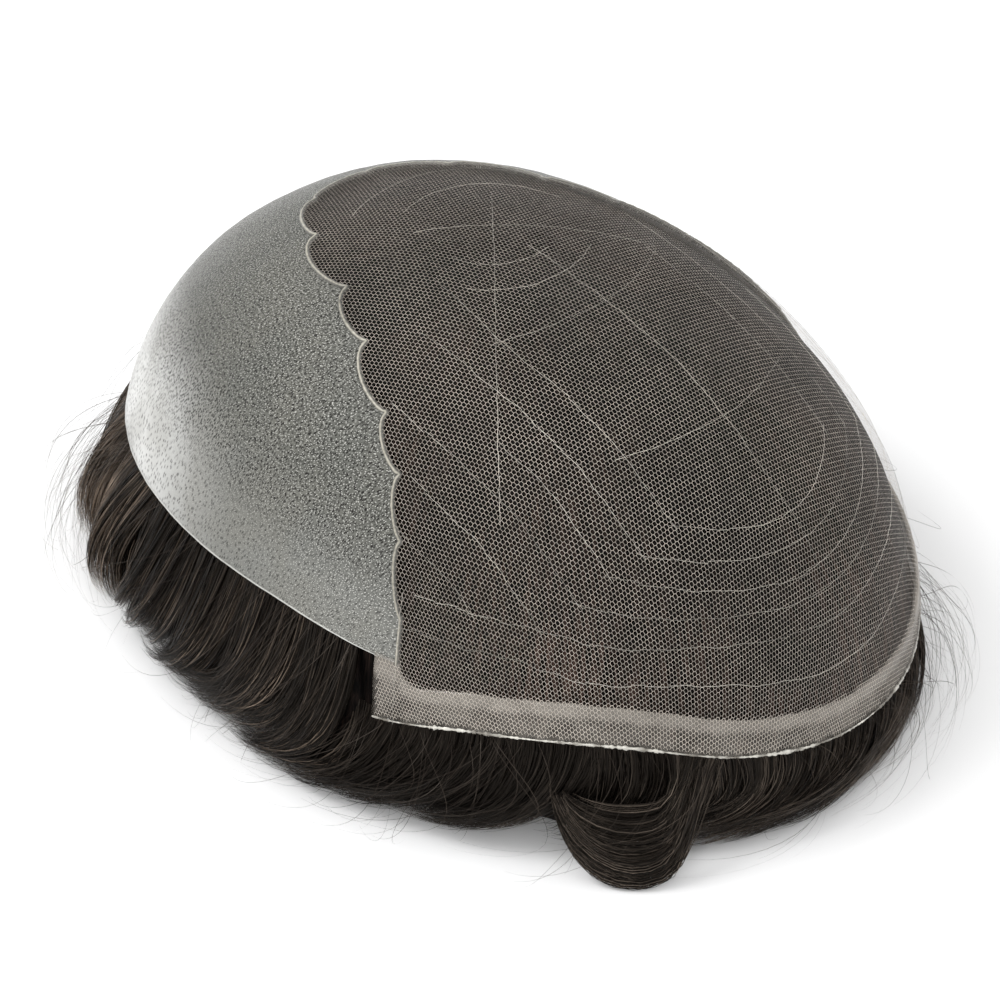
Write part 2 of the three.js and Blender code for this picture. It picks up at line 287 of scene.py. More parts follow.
def reader(rows, column):
    """A smooth function of azimuth through a table's rows, closed at 360 degrees."""
    keys = np.array([row["azimuth"] for row in rows], float)
    values = np.array([row[column] for row in rows], float)
    keys_round = np.concatenate([[keys[-2] - 360], keys, [keys[1] + 360]])
    values_round = np.concatenate([[values[-2]], values, [values[1]]])
    slopes = (values_round[2:] - values_round[:-2]) / (keys_round[2:] - keys_round[:-2])

    def read(azimuth):
        turn = np.mod(azimuth, 360.0)
        below = np.clip(np.searchsorted(keys, turn, side="right") - 1, 0, len(keys) - 2)
        span = keys[below + 1] - keys[below]
        share = (turn - keys[below]) / span
        eased = share * share * (3 - 2 * share)
        start = slopes[below] * span * share * (1 - share) ** 2
        end = slopes[below + 1] * span * share ** 2 * (share - 1)
        return values[below] + (values[below + 1] - values[below]) * eased + start + end

    return read


read_skin_edge = reader(SKIN_EDGE, "height")
read_band_edge = reader(BAND_EDGE, "height")
read_flare = reader(FLARE, "flare")
read_painted_highlight = reader(PAINTED_HIGHLIGHTS, "light")


def skin_edge(azimuth):
    return SKIN_EDGE_HEIGHT * read_skin_edge(azimuth)


def band_edge(azimuth):
    return BAND_EDGE_HEIGHT * read_band_edge(azimuth)


def band_top(azimuth):
    """Top of the hairline band, turned up to the skin's edge at both ends."""
    from_notch = np.minimum(azimuth - NOTCH_AZIMUTH, FAR_NOTCH_AZIMUTH - azimuth)
    low = band_edge(azimuth) + BAND_HEIGHT
    high = skin_edge(azimuth) + 0.8
    share = np.clip((from_notch - UPTURN_SPAN) / UPTURN_CORNER, 0, 1)
    return low + (high - low) * (1 - np.sqrt(1 - (1 - share) ** 2))


def rim_height(azimuth):
    """Lowest edge of the base at an azimuth: the band in front, the skin elsewhere."""
    turn = np.mod(azimuth, 360.0)
    in_front = (turn > NOTCH_AZIMUTH) & (turn < FAR_NOTCH_AZIMUTH)
    return np.where(in_front, band_edge(turn), skin_edge(turn))


def shoulder_height(azimuth):
    """Height where the hair leaves the rim, lowered next to the notches."""
    around = [rim_height(np.asarray(azimuth, float) + step) for step in (-4, -2, 0, 2, 4)]
    return np.minimum.reduce(around) - 1.2


def unit(vectors):
    return vectors / np.maximum(np.linalg.norm(vectors, axis=-1, keepdims=True), 1e-9)


def reach(way):
    """Distance from the dome's centre to its surface along unit directions."""
    return (np.abs(way / HALVES) ** ROUNDNESS).sum(-1) ** (-1 / ROUNDNESS)


def on_dome(way, inset=0.0):
    """Points on the dome along unit directions, sunk by the inset."""
    return CENTRE + way * (reach(way) - inset)[..., None]


def dome_normal(way):
    point = way * reach(way)[..., None]
    slope = np.sign(point) * np.abs(point / HALVES) ** (ROUNDNESS - 1) / HALVES
    return unit(slope)


def dome_radius(azimuth, height):
    """Distance of the dome from its axis at an azimuth in degrees and a height."""
    turn = np.radians(azimuth)
    up = np.clip((height - LIFT) / RISE, 0, 0.9999)
    left = 1 - up ** ROUNDNESS
    across = np.abs(np.cos(turn) / HALF_WIDTH) ** ROUNDNESS
    along = np.abs(np.sin(turn) / HALF_LENGTH) ** ROUNDNESS
    return (left / (across + along)) ** (1 / ROUNDNESS)


def round_axis(radius, azimuth, height):
    """Points at a distance from the dome's axis."""
    turn = np.radians(azimuth)
    flat = np.stack([radius * np.cos(turn), radius * np.sin(turn), height + 0 * radius], -1)
    return flat + AXIS


def way_at_height(azimuth, height):
    return unit(round_axis(dome_radius(azimuth, height), azimuth, height) - CENTRE)


def way_over(plan):
    """Direction to the dome's point above a place in plan."""
    shares = np.abs(plan / HALVES[:2]) ** ROUNDNESS
    height = RISE * np.maximum(1 - shares.sum(-1), 0) ** (1 / ROUNDNESS)
    return unit(np.concatenate([plan, height[..., None]], -1))


def along_line(points, count):
    """The same line with evenly spaced points."""
    steps = np.linalg.norm(np.diff(points, axis=0), axis=1)
    length = np.concatenate([[0], np.cumsum(steps)])
    wanted = np.linspace(0, length[-1], count)
    return np.stack([np.interp(wanted, length, points[:, k]) for k in range(points.shape[1])], 1)


def line_length(points):
    return np.linalg.norm(np.diff(points, axis=0), axis=1).sum()


def plan_azimuth(point):
    return math.degrees(math.atan2(point[1], point[0])) % 360


def border_plan():
    """The scalloped border in plan, from the near temple over the crown to the far one."""
    far = [np.array([row["across"] * HALF_WIDTH, row["along"] * HALF_LENGTH]) for row in CUSPS]
    near = [point * [-1, 1] for point in reversed(far)]
    cusps = near + far
    share = np.linspace(0, 1, 25)[:-1, None]
    arcs = []
    for start, end in zip(cusps[:-1], cusps[1:]):
        chord = end - start
        outward = np.array([-chord[1], chord[0]])
        lean = SCALLOP_LEAN ** np.sign(start[0] + end[0])
        swell = np.sqrt(1 - (2 * share ** lean - 1) ** 2)
        arcs.append(start + chord * share + outward * SCALLOP_DEPTH * swell)
    arcs.append(cusps[-1][None])
    return np.concatenate(arcs)


def border_line(count):
    """The border on the dome as directions, carried down to the band at both ends."""
    plan = border_plan()
    ways = way_over(plan)
    first, last = on_dome(ways)[[0, -1], 2]
    foot = skin_edge(NOTCH_AZIMUTH)
    steps = 11
    climb = np.linspace(0, 1, steps + 1)
    up = way_at_height(np.full(steps, plan_azimuth(plan[0])), foot + (first - foot) * climb[:-1])
    down = way_at_height(np.full(steps, plan_azimuth(plan[-1])), last + (foot - last) * climb[1:])
    points = on_dome(np.concatenate([up, ways, down]))
    return unit(along_line(points, count) - CENTRE)


def tilted(tilt, turn):
    """Directions by their angle from straight up and their azimuth, both in radians."""
    return np.stack([np.sin(tilt) * np.cos(turn), np.sin(tilt) * np.sin(turn), np.cos(tilt)], -1)


def slerp(a, b, share):
    """Directions between two sets of directions."""
    angle = np.arccos(np.clip((a * b).sum(-1, keepdims=True), -1, 1))
    angle = np.maximum(angle, 1e-6)
    return unit((a * np.sin((1 - share) * angle) + b * np.sin(share * angle)) / np.sin(angle))


def smoothed(line, span):
    """A line of directions averaged over a span of its points."""
    half = span // 2
    before = 2 * line[:1] - line[half:0:-1]
    after = 2 * line[-1:] - line[-2:-half - 2:-1]
    padded = np.concatenate([before, line, after])
    return unit(np.stack([np.convolve(padded[:, k], np.ones(span) / span, "valid") for k in range(3)], 1))


def ripple(x, y, seed):
    """Smooth irregular waves between about -1 and 1."""
    phase = seed * 1.7
    return (
        0.5 * np.sin(x + phase)
        + 0.3 * np.sin(2.3 * x + 1.3 * y + phase * 2)
        + 0.2 * np.sin(5.1 * x - 2.1 * y + phase * 3)
    )


def new_object(name, mesh, finish):
    mesh.materials.append(finish)
    piece = bpy.data.objects.new(name, mesh)
    bpy.context.scene.collection.objects.link(piece)
    return piece


def shaped_sheet(name, columns, rows, place, size, finish, wrap=False):
    """A grid whose corners go where place(across, along) says, with a UV map in millimetres."""
    bm = bmesh.new()
    bmesh.ops.create_grid(bm, x_segments=columns, y_segments=rows, size=0.5)
    mesh = bpy.data.meshes.new(name)
    bm.to_mesh(mesh)
    bm.free()
    flat = np.zeros(len(mesh.vertices) * 3)
    mesh.vertices.foreach_get("co", flat)
    shares = flat.reshape(-1, 3)[:, :2] + 0.5
    mesh.vertices.foreach_set("co", (place(shares[:, 0], shares[:, 1]) * MM).ravel())
    corner = np.zeros(len(mesh.loops), int)
    mesh.loops.foreach_get("vertex_index", corner)
    uv = mesh.uv_layers.new(name="UVMap")
    uv.data.foreach_set("uv", (shares[corner] * size).ravel())
    mesh.update()
    if wrap:
        bm = bmesh.new()
        bm.from_mesh(mesh)
        bmesh.ops.remove_doubles(bm, verts=bm.verts, dist=0.00002)
        bmesh.ops.recalc_face_normals(bm, faces=bm.faces)
        bm.to_mesh(mesh)
        bm.free()
    mesh.shade_smooth()
    return new_object(name, mesh, finish)


def template(build):
    """Corners and faces of a small shape made by bmesh operators."""
    bm = bmesh.new()
    build(bm)
    bm.verts.index_update()
    corners = np.array([v.co for v in bm.verts])
    faces = [[v.index for v in face.verts] for face in bm.faces]
    bm.free()
    return corners, faces


def joined(name, corners, faces, finish, **values):
    """One mesh of many like shapes: corners has a row of points for each shape."""
    shapes, per_shape = corners.shape[:2]
    sizes = np.array([len(face) for face in faces])
    one = np.concatenate([np.array(face) for face in faces])
    shift = np.arange(shapes)[:, None] * per_shape
    loops = (one[None] + shift).ravel()
    mesh = bpy.data.meshes.new(name)
    mesh.vertices.add(shapes * per_shape)
    mesh.vertices.foreach_set("co", (corners * MM).ravel())
    mesh.loops.add(len(loops))
    mesh.loops.foreach_set("vertex_index", loops)
    totals = np.tile(sizes, shapes)
    mesh.polygons.add(len(totals))
    mesh.polygons.foreach_set("loop_start", np.concatenate([[0], np.cumsum(totals)[:-1]]))
    mesh.polygons.foreach_set("loop_total", totals)
    mesh.update(calc_edges=True)
    for label, value in values.items():
        layer = mesh.attributes.new(label, "FLOAT", "POINT")
        layer.data.foreach_set("value", np.broadcast_to(value, (shapes, per_shape)).ravel())
    mesh.validate()
    mesh.shade_smooth()
    return new_object(name, mesh, finish)


def inside(points, outline):
    """Which points in plan lie inside a closed outline."""
    x, y = points[:, 0], points[:, 1]
    result = np.zeros(len(points), bool)
    for (x1, y1), (x2, y2) in zip(outline, np.roll(outline, -1, axis=0)):
        crosses = (y1 > y) != (y2 > y)
        if crosses.any():
            result ^= crosses & (x < (x2 - x1) * (y - y1) / (y2 - y1 + 1e-12) + x1)
    return result


# Net

def flat_to_dome(plane, inset):
    """Lays points of a flat cloth on the dome, keeping their distance from its top."""
    azimuths = np.radians(np.arange(0, 363, 3.0))
    tilts = np.radians(np.arange(0, 101, 1.0))
    turn, tilt = np.meshgrid(azimuths, tilts, indexing="ij")
    steps = np.linalg.norm(np.diff(on_dome(tilted(tilt, turn)), axis=1), axis=2)
    length = np.concatenate([np.zeros((len(azimuths), 1)), np.cumsum(steps, axis=1)], 1)
    marks = np.arange(0, 171, 1.0)
    tilt_at = np.stack([np.interp(marks, row, tilts) for row in length])
    angle = np.arctan2(plane[..., 1], plane[..., 0])
    far = np.hypot(plane[..., 0], plane[..., 1])
    column = np.mod(np.degrees(angle), 360) / 3
    left = np.clip(column.astype(int), 0, len(azimuths) - 2)
    low = np.clip(far.astype(int), 0, len(marks) - 2)
    a, b = column - left, far - low
    tilt = (
        tilt_at[left, low] * (1 - a) * (1 - b)
        + tilt_at[left + 1, low] * a * (1 - b)
        + tilt_at[left, low + 1] * (1 - a) * b
        + tilt_at[left + 1, low + 1] * a * b
    )
    return on_dome(tilted(tilt, angle), inset)


def net_cell(bm, width):
    """The three threads that each hole adds to the net."""
    side = Vector((NET_PITCH / 2, NET_SIDE / 2))
    peak = Vector((0, NET_ROW - NET_SIDE / 2))
    for start, end in ((side * Vector((1, -1)), side), (side, peak), (peak, side * Vector((-1, 1)))):
        run = end - start
        made = bmesh.ops.create_grid(bm, x_segments=1, y_segments=1, size=0.5)["verts"]
        bmesh.ops.scale(bm, verts=made, vec=(run.length, width, 1))
        turn = Matrix.Rotation(math.atan2(run.y, run.x), 3, "Z")
        bmesh.ops.rotate(bm, verts=made, matrix=turn)
        bmesh.ops.translate(bm, verts=made, vec=((start + end) / 2).to_3d())


def net_centres():
    """Middles of the net's holes on the flat cloth, rows running from side to side."""
    rows = np.arange(-150, 151)
    steps = np.arange(-175, 176)
    row, step = np.meshgrid(rows, steps, indexing="ij")
    x = (step + 0.5 * (row % 2)) * NET_PITCH
    y = row * NET_ROW
    return np.stack([x.ravel(), y.ravel()], 1)


def pulled(flat):
    """The cloth's rows, a little out of true where it was stretched."""
    x, y = flat[..., 0], flat[..., 1]
    shift = np.stack([ripple(x / 23, y / 17, 21), ripple(y / 21, x / 15, 22)], -1)
    turn = math.radians(NET_TURN)
    cos, sin = math.cos(turn), math.sin(turn)
    return np.stack([x * cos - y * sin, x * sin + y * cos], -1) + 0.5 * shift


def lace_outline():
    """Plan of the lace and band: the border, closed far out round the front."""
    border = border_plan()
    near = border[0] * 1.5
    far = border[-1] * 1.5
    front = np.array([far, [HALF_WIDTH * 2, -HALF_LENGTH * 2], [-HALF_WIDTH * 2, -HALF_LENGTH * 2], near])
    return np.concatenate([border, front])


def make_nets(net_finish, band_net_finish):
    centres = net_centres()
    middles = flat_to_dome(pulled(centres), 0)
    plan = middles - AXIS
    azimuth = np.mod(np.degrees(np.arctan2(plan[:, 1], plan[:, 0])), 360)
    in_lace = inside(plan[:, :2], lace_outline())
    in_front = (azimuth > NOTCH_AZIMUTH + 0.6) & (azimuth < FAR_NOTCH_AZIMUTH - 0.6)
    top_of_band = np.where(in_front, band_top(azimuth), skin_edge(azimuth))
    over_band = plan[:, 2] > top_of_band
    on_band = in_front & ~over_band & (plan[:, 2] > band_edge(azimuth) + 0.7)
    across = np.tile([-1, -1, 1, 1], 3)[None]
    pieces = []
    wanted = [
        ("net_near_side", in_lace & over_band & (plan[:, 0] < 0), 0.0, 1.0, net_finish),
        ("net_far_side", in_lace & over_band & (plan[:, 0] >= 0), 0.0, 1.0, net_finish),
        ("net_under_band", on_band, 0.25, 1.5, band_net_finish),
    ]
    for name, keep, sunk, thickness, finish in wanted:
        corners, faces = template(lambda bm: net_cell(bm, THREAD_WIDTH * thickness))
        spot = centres[keep]
        flat = pulled(spot[:, None, :] + corners[None, :, :2])
        tone = np.random.default_rng(3).uniform(0, 1, (len(spot), 1))
        pieces.append(joined(name, flat_to_dome(flat, sunk), faces, finish, tone=tone, across=across))
    return pieces


# Skin, border and band

def make_skin(finish):
    columns, rows = 300, 50
    border = border_line(columns + 1)
    plain = smoothed(border, 27)
    azimuths = np.linspace(NOTCH_AZIMUTH, 180 - NOTCH_AZIMUTH, 900)
    edge = along_line(on_dome(way_at_height(azimuths, skin_edge(azimuths))), columns + 1)
    edge_way = unit(edge - CENTRE)
    width = line_length(edge)

    def place(across, along):
        column = np.clip(np.rint(across * columns).astype(int), 0, columns)
        ease = np.clip(along * 7, 0, 1)[:, None]
        start = unit(border[column] * (1 - ease) + plain[column] * ease)
        way = slerp(start, edge_way[column], along[:, None])
        wave = 0.12 * ripple(across * 60, along * 9, 1)
        return on_dome(way, wave + 0.1)

    piece = shaped_sheet("skin", columns, rows, place, [width, 1.0], finish)
    mesh = piece.data
    lengths = np.linalg.norm(on_dome(border) - on_dome(edge_way), axis=1) * 1.08
    share = np.repeat(np.linspace(0, 1, rows + 1), columns + 1)
    length = np.tile(lengths, rows + 1)
    layer = mesh.attributes.new("from_edge", "FLOAT", "POINT")
    layer.data.foreach_set("value", (1 - share) * length)
    corner = np.zeros(len(mesh.loops), int)
    mesh.loops.foreach_get("vertex_index", corner)
    layer = mesh.uv_layers["UVMap"]
    across = np.tile(np.linspace(0, 1, columns + 1), rows + 1) * width
    flat = np.stack([across[corner], (share * length)[corner]], 1)
    layer.uv.foreach_set("vector", flat.ravel())
    return wall(piece, SKIN_WALL)


def wall(piece, thickness):
    """Gives a sheet its thickness, inwards from the dome's face."""
    bm = bmesh.new()
    bm.from_mesh(piece.data)
    first = next(iter(bm.faces))
    out = first.calc_center_median() / MM - Vector(CENTRE)
    if first.normal.dot(out) < 0:
        bmesh.ops.reverse_faces(bm, faces=bm.faces)
    bm.to_mesh(piece.data)
    bm.free()
    solid = piece.modifiers.new("wall", "SOLIDIFY")
    solid.thickness = thickness * MM
    solid.offset = -1
    return piece


def make_border(finish):
    columns, rows = 720, 5
    line = border_line(columns + 1)
    points = on_dome(line)
    out = dome_normal(line)
    side = unit(np.cross(out, unit(np.gradient(points, axis=0))))

    def place(across, along):
        column = np.clip(np.rint(across * columns).astype(int), 0, columns)
        swell = 0.85 + 0.2 * ripple(across * 700, 0, 2)
        lift = EDGING_PROUD * np.sin(np.pi * along) ** 0.6 - 0.35 * (1 - np.sin(np.pi * along))
        spread = (along - 0.5) * EDGING_WIDTH * swell
        return points[column] + side[column] * spread[:, None] + out[column] * (lift * swell)[:, None]

    piece = shaped_sheet("scalloped_border", columns, rows, place, [400.0, EDGING_WIDTH], finish)
    return wall(piece, EDGING_WALL)


def band_azimuths(across):
    return NOTCH_AZIMUTH + across * (FAR_NOTCH_AZIMUTH - NOTCH_AZIMUTH)


def make_band(finish):
    columns, rows = 420, 14

    def place(across, along):
        azimuth = band_azimuths(across)
        low = band_edge(azimuth) + 0.15 * ripple(across * 150, 0, 4)
        high = band_top(azimuth) + 0.22 * ripple(across * 55, 0, 5)
        way = way_at_height(azimuth, low + (high - low) * along)
        rounded = 0.35 * (1 - np.clip(along * 7, 0, 1)) ** 2 + 0.3 * np.clip(along * 12 - 11, 0, 1) ** 2
        return on_dome(way, rounded - BAND_PROUD + 0.06 * ripple(across * 300, along * 8, 6))

    piece = shaped_sheet("hairline_band_coat", columns, rows, place, [230.0, BAND_HEIGHT], finish)
    return wall(piece, BAND_WALL)


def make_band_bead(finish):
    """The crinkled bead of clear glue along the band's lower edge."""
    columns, rows = 760, 8

    def place(across, along):
        azimuth = band_azimuths(across)
        fullness = 0.27 + 0.15 * ripple(across * 420, 0, 7) + 0.1 * ripple(across * 1100, 3, 8)
        fullness *= 0.75 + 0.5 * ripple(across * 40, 0, 13)
        fullness = np.maximum(fullness, 0.1)
        turn = 2 * np.pi * along
        height = band_edge(azimuth) + 0.35 + fullness * 1.5 * np.sin(turn)
        way = way_at_height(azimuth, height)
        crinkle = 0.08 * ripple(across * 1500, turn * 2, 9)
        return on_dome(way, -0.1 - (fullness + crinkle) * np.cos(turn))

    return shaped_sheet("band_edge_bead", columns, rows, place, [230.0, 3.0], finish, wrap=True)


# Guide threads

def arc_depth(arc, across):
    """How far forward an arc runs at a distance from the midline."""
    return -arc["front"] * np.sqrt(1 - (across / arc["wide"]) ** 2)


def guide_lines():
    """Every guide thread in plan, a list of lines."""
    share = np.linspace(-1, 1, 120)
    lines = []
    for arc in GUIDE_ARCS:
        across = arc["reach"] * np.sin(share * np.pi / 2)
        lines.append(np.stack([across, arc_depth(arc, across)], 1))
    for leg in GUIDE_LEGS:
        corner = arc_depth(GUIDE_ARCS[leg["arc"]], leg["across"])
        along = np.linspace(leg["back"], corner, 80)
        lines += [np.stack([np.full(80, side * leg["across"]), along], 1) for side in (-1, 1)]
    for bow in GUIDE_BOWS:
        along = bow["middle"] + (bow["ends"] - bow["middle"]) * share ** 2
        lines.append(np.stack([bow["reach"] * share, along], 1))
    for ring in GUIDE_RINGS:
        turn = np.radians(np.linspace(ring["start"], ring["stop"], 40))
        round_whorl = ring["radius"] * np.stack([np.cos(turn), np.sin(turn)], 1)
        lines.append(round_whorl + [0, WHORL_ALONG])
    for row in GUIDE_LINES:
        start = np.array([row["across"], row["along"]])
        end = np.array([row["far_across"], row["far_along"]])
        lines.append(start + (end - start) * np.linspace(0, 1, 80)[:, None])
    wander = [ripple(line[:, 1] / 7, line[:, 0] / 9, 31)[:, None] * [0.45, 0.3] for line in lines]
    return [line + shift for line, shift in zip(lines, wander)]


def stitch(bm):
    bmesh.ops.create_uvsphere(bm, u_segments=5, v_segments=4, radius=0.5)
    bmesh.ops.rotate(bm, verts=bm.verts, matrix=rotation_to_x())
    bmesh.ops.scale(bm, verts=bm.verts, vec=(STITCH_LENGTH, STITCH_WIDTH, STITCH_WIDTH * 0.8))


def rotation_to_x():
    return Vector((0, 0, 1)).rotation_difference(Vector((1, 0, 0))).to_matrix()


def place_stitches(name, ways, finish, rng, proud=0.16):
    """Stitches laid end to end along lines on the dome."""
    corners, faces = template(stitch)
    spots, alongs, outs = [], [], []
    for line in ways:
        points = on_dome(line)
        count = max(int(line_length(points) / STITCH_PITCH), 2)
        points = along_line(points, count)
        spots.append(points)
        alongs.append(unit(np.gradient(points, axis=0)))
        outs.append(dome_normal(unit(points - CENTRE)))
    spot, along, out = (np.concatenate(group) for group in (spots, alongs, outs))
    side = unit(np.cross(out, along))
    count = len(spot)
    along = unit(along + side * rng.normal(0, 0.05, (count, 1)))
    side = unit(np.cross(out, along))
    spot = spot + side * rng.normal(0, 0.07, (count, 1)) + out * proud
    shape = (
        spot[:, None]
        + along[:, None] * corners[None, :, :1]
        + side[:, None] * corners[None, :, 1:2]
        + out[:, None] * corners[None, :, 2:]
    )
    tone = 0.5 + 0.5 * ripple(np.arange(count) / 9, 0, 33)[:, None]
    return joined(name, shape, faces, finish, tone=tone)


def end_seams():
    """Stitched lines down the band's upright ends."""
    plan = border_plan()
    seams = []
    for end in (plan[0], plan[-1]):
        azimuth = plan_azimuth(end)
        heights = np.linspace(float(band_edge(azimuth)) + 1, SKIN_EDGE_HEIGHT + 14, 30)
        seams.append(way_at_height(np.full(30, azimuth), heights))
    return seams


# Hair

def make_bed(finish):
    """The body of hair under the dome: a lining, and a skirt turned out to the table."""
    columns, rows = 250, 80
    cap_end, skirt_end, foot_end, wall_end = 0.4, 0.7, 0.76, 0.84
    bulge_turn = math.pi * 0.62
    off_table = 0.2

    def place(across, along):
        azimuth = across * 360
        shoulder = shoulder_height(azimuth)
        foot = dome_radius(azimuth, LIFT)
        flare = BED_FLARE * read_flare(azimuth)
        groove = 0.35 * ripple(across * 260, along * 3, 11) + 0.25 * ripple(across * 640, along * 5, 12)
        top_tilt = np.arccos(np.clip(way_at_height(azimuth, shoulder)[:, 2], -1, 1))
        outer_share = np.clip(along / cap_end, 0, 1)
        turn = np.radians(azimuth)
        cap = on_dome(tilted(top_tilt * outer_share, turn), BED_INSET - groove * 0.4)
        drop = np.clip((along - cap_end) / (skirt_end - cap_end), 0, 1)
        root = dome_radius(azimuth, shoulder) - BED_INSET
        bulge = np.sin(bulge_turn * drop) / math.sin(bulge_turn)
        out = root + (foot + flare - root) * bulge + groove * np.sin(np.pi * drop)
        out = out - BED_TUCK * drop ** 2
        skirt = round_axis(out, azimuth, shoulder * (1 - drop) ** 1.15 + off_table)
        under = np.clip((along - skirt_end) / (foot_end - skirt_end), 0, 1)
        inner = foot - BED_WALL
        heel = foot + flare - BED_TUCK
        foot_line = round_axis(heel + (inner - heel) * under, azimuth, off_table)
        rise = np.clip((along - foot_end) / (wall_end - foot_end), 0, 1)
        inner_wall = round_axis(inner, azimuth, off_table + (shoulder - off_table) * rise)
        back = np.clip((along - wall_end) / (1 - wall_end), 0, 1)
        ceiling = on_dome(tilted(top_tilt * (1 - back), turn), BED_INSET + BED_THICKNESS)
        steps = [along < cap_end, along < skirt_end, along < foot_end, along < wall_end]
        pick = np.select(steps, [0, 1, 2, 3], 4)
        choices = np.stack([cap, skirt, foot_line, inner_wall, ceiling])
        return choices[pick, np.arange(len(along))]

    return shaped_sheet("hair_bed", columns, rows, place, [560.0, 300.0], finish, wrap=True)


def lock_paths(lock, count, stations, turn, rng):
    """Hairs of one lock, each a row of points from under the rim to its tip."""
    ends = rng.uniform(0.45, 1.0, (count, 1)) ** 0.5
    share = np.linspace(0, 1, stations)[None] * ends
    side = rng.uniform(-1, 1, (count, 1))
    depth = rng.uniform(0, 1, (count, 1)) ** 1.3
    tufts = 5
    tuft = np.clip(np.floor((side + 1) * tufts / 2 + rng.normal(0, 0.35, (count, 1))), 0, tufts - 1)
    tuft_side = (tuft + 0.5) * 2 / tufts - 1
    tuft_shift = np.sin(tuft * 2.4 + lock["root"])
    start = side
    side = side + (tuft_side - side) * 0.75 * share ** 0.9
    gather = 1 - (0.68 - 0.3 * depth) * share ** 1.6
    middle = dome_radius(lock["root"], 20.0)
    half_turn = np.degrees(lock["width"] * LOCK_WIDTH / 2 / middle)
    root = lock["root"] + start * half_turn
    hand = np.sign(lock["sweep"])
    sweep = lock["sweep"] * (1 + 0.1 * tuft_shift + rng.normal(0, 0.07, (count, 1)))
    fore = -hand * (1.3 + 0.5 * tuft_shift) * np.sin(np.pi * np.minimum(share * 1.1, 1))
    wave = 0.6 * np.sin(share * 5 + tuft * 1.3 + lock["root"]) * share
    stray = rng.normal(0, 0.45, (count, 1)) * share ** 2
    azimuth = lock["root"] + side * half_turn * gather + fore + sweep * share ** turn + wave + stray
    top = shoulder_height(root) + 2.5
    low = lock["low"] * LOCK_LOW * rng.uniform(0.05, 1.0, (count, 1)) + 1.2 * tuft_shift
    low = np.maximum(low, 0.4)
    curl = lock["lift"] * LOCK_LIFT * (1 + 0.4 * tuft_shift)
    height = low + (top - low) * (1 - share) ** 1.65 + curl * share ** 3
    crown = 1 - start ** 2 * 0.5
    under_rim = 1.7 + depth * 1.5
    stand = lock["stand"] * LOCK_STAND * (1 - 0.6 * depth) * crown + 1.3 * tuft_shift * share
    swing = np.sin(share ** 1.05 * np.pi * 0.68)
    out = (stand + under_rim) * swing - under_rim
    radius = dome_radius(azimuth, height) + out
    return round_axis(radius, azimuth, height)


def curl_paths(count, stations, rng):
    """Hairs of the curl at the near temple, in nested loops hung from its right side."""
    depth = rng.uniform(0, 1, (count, 1)) ** 0.6
    layer = rng.uniform(0.6, 1.0, (count, 1))
    share = np.linspace(0, 1, stations)[None] * rng.uniform(0.7, 1.0, (count, 1))
    angle = np.radians(-6 - (160 + 14 * depth) * share)
    across = CURL["wide"] * (0.72 + 0.28 * depth) * np.cos(angle) + 0.5 * np.sin(share * 9 + depth * 12)
    sag = CURL["height"] * (0.08 + 0.9 * depth)
    height = np.maximum(CURL["height"] + sag * np.sin(angle), 0.5)
    azimuth = CURL["azimuth"] + np.degrees(across / CURL["radius"])
    rounded = np.sqrt(np.clip(1 - (across / (CURL["wide"] * 1.05)) ** 2, 0, 1))
    low_down = np.clip(1 - height / CURL["height"], 0, 1)
    out = CURL["deep"] * rounded * layer * (0.3 + 0.7 * np.sin(low_down * np.pi / 2)) + 1
    ball = round_axis(dome_radius(azimuth, height) + out, azimuth, height)
    lead = np.clip(1 - share * 3.2, 0, 1)[..., None] ** 1.5
    root_azimuth = CURL["root"] + 3 * depth + rng.normal(0, 1.2, (count, 1))
    root_height = band_edge(root_azimuth) + 1.5
    root = round_axis(dome_radius(root_azimuth, root_height) - 2, root_azimuth, root_height)
    return ball * (1 - lead) + root * lead


def loose_paths(stations, rng):
    """Single hairs that stray from the locks."""
    places = [row["azimuth"] + row["spread"] * rng.uniform(-1, 1, row["count"]) for row in STRAYS]
    azimuth = np.mod(np.concatenate(places), 360)[:, None]
    count = len(azimuth)
    share = np.linspace(0, 1, stations)[None]
    hand = np.where((azimuth > 145) & (azimuth < 312), -1, 1)
    sweep = hand * rng.uniform(2, 22, (count, 1))
    curve = rng.normal(0, 1, (count, 1))
    turn = azimuth + sweep * share ** 1.6 + curve * 3 * np.sin(share * 3)
    top = shoulder_height(azimuth) + 1.5
    low = rng.uniform(0.5, 12, (count, 1))
    height = low + (top - low) * (1 - share) ** 1.5 + rng.uniform(0, 5, (count, 1)) * share ** 3
    stand = rng.uniform(4, 17, (count, 1)) + 5 * read_flare(azimuth)
    out = (stand + 2) * np.sin(share ** 0.8 * np.pi * rng.uniform(0.42, 0.7, (count, 1))) - 2
    radius = dome_radius(turn, height) + out
    return round_axis(radius, turn, height)


